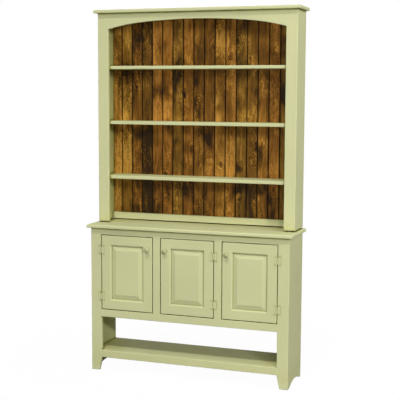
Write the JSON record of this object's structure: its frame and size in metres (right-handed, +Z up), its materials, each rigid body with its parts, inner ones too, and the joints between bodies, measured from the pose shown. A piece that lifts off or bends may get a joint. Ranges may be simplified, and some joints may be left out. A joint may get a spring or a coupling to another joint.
{
  "type": "step back cupboard",
  "caption": "Painted step back cupboard: a base with raised-panel doors over an open bay, and a shallower hutch with an arched rail, open shelves and a boarded back.",
  "frame": {"origin": "on the floor, midway between the knob tips and the back and on the middle of the width", "axes": "+Z up, +Y from the front to the back, +X to the right for someone who faces the front"},
  "size_m": [1.246, 0.324, 2.129],
  "materials": {
    "painted_wood": "satin sage green paint over wood, eased edges slightly lighter",
    "stained_pine": "knotty pine in a dark walnut stain, each strip its own shade",
    "painted_hinge": "steel hinge painted over with the cupboard's sage green",
    "plated_steel": "zinc plated steel",
    "glide_plastic": "dark brown moulded plastic"
  },
  "bodies": {
    "cupboard": {"base_stile_left": "painted_wood", "base_stile_right": "painted_wood", "base_mullion_left": "painted_wood", "base_mullion_right": "painted_wood", "base_bottom_rail": "painted_wood", "base_middle_rail": "painted_wood", "base_top_rail": "painted_wood", "base_side_left": "painted_wood", "base_side_right": "painted_wood", "base_low_shelf": "painted_wood", "base_cupboard_floor": "painted_wood", "base_inner_shelf": "painted_wood", "base_back_panel": "painted_wood", "base_counter": "painted_wood", "hutch_stile_left": "painted_wood", "hutch_stile_right": "painted_wood", "hutch_arched_rail": "painted_wood", "hutch_side_left": "painted_wood", "hutch_side_right": "painted_wood", "hutch_shelf_lower": "painted_wood", "hutch_shelf_middle": "painted_wood", "hutch_shelf_upper": "painted_wood", "hutch_back_rail": "painted_wood", "hutch_crown": "painted_wood", "hutch_back_board_1": "stained_pine", "hutch_back_board_2": "stained_pine", "hutch_back_board_3": "stained_pine", "hutch_back_board_4": "stained_pine", "hutch_back_board_5": "stained_pine", "hutch_back_board_6": "stained_pine", "hutch_back_board_7": "stained_pine", "hutch_back_board_8": "stained_pine", "hutch_back_board_9": "stained_pine", "hutch_glides": "glide_plastic", "magnetic_catches": "glide_plastic", "frame_hinge_leaves": "painted_hinge"},
    "door_left": {"door_left_hinge_stile": "painted_wood", "door_left_knob_stile": "painted_wood", "door_left_top_rail": "painted_wood", "door_left_bottom_rail": "painted_wood", "door_left_panel": "painted_wood", "door_left_knob": "painted_wood", "door_left_hinge_leaves": "painted_hinge", "door_left_strike": "plated_steel"},
    "door_middle": {"door_middle_hinge_stile": "painted_wood", "door_middle_knob_stile": "painted_wood", "door_middle_top_rail": "painted_wood", "door_middle_bottom_rail": "painted_wood", "door_middle_panel": "painted_wood", "door_middle_knob": "painted_wood", "door_middle_hinge_leaves": "painted_hinge", "door_middle_strike": "plated_steel"},
    "door_right": {"door_right_hinge_stile": "painted_wood", "door_right_knob_stile": "painted_wood", "door_right_top_rail": "painted_wood", "door_right_bottom_rail": "painted_wood", "door_right_panel": "painted_wood", "door_right_knob": "painted_wood", "door_right_hinge_leaves": "painted_hinge", "door_right_strike": "plated_steel"}
  },
  "joints": [
    {"name": "door_left_hinge", "type": "hinge", "parent": "cupboard", "child": "door_left", "pos_m": [-0.53625, -0.1415, 0.594], "axis": [0, 0, -1], "range_deg": [0, 170]},
    {"name": "door_middle_hinge", "type": "hinge", "parent": "cupboard", "child": "door_middle", "pos_m": [0.16225, -0.1415, 0.594], "axis": [0, 0, 1], "range_deg": [0, 110]},
    {"name": "door_right_hinge", "type": "hinge", "parent": "cupboard", "child": "door_right", "pos_m": [0.53625, -0.1415, 0.594], "axis": [0, 0, 1], "range_deg": [0, 170]}
  ]
}
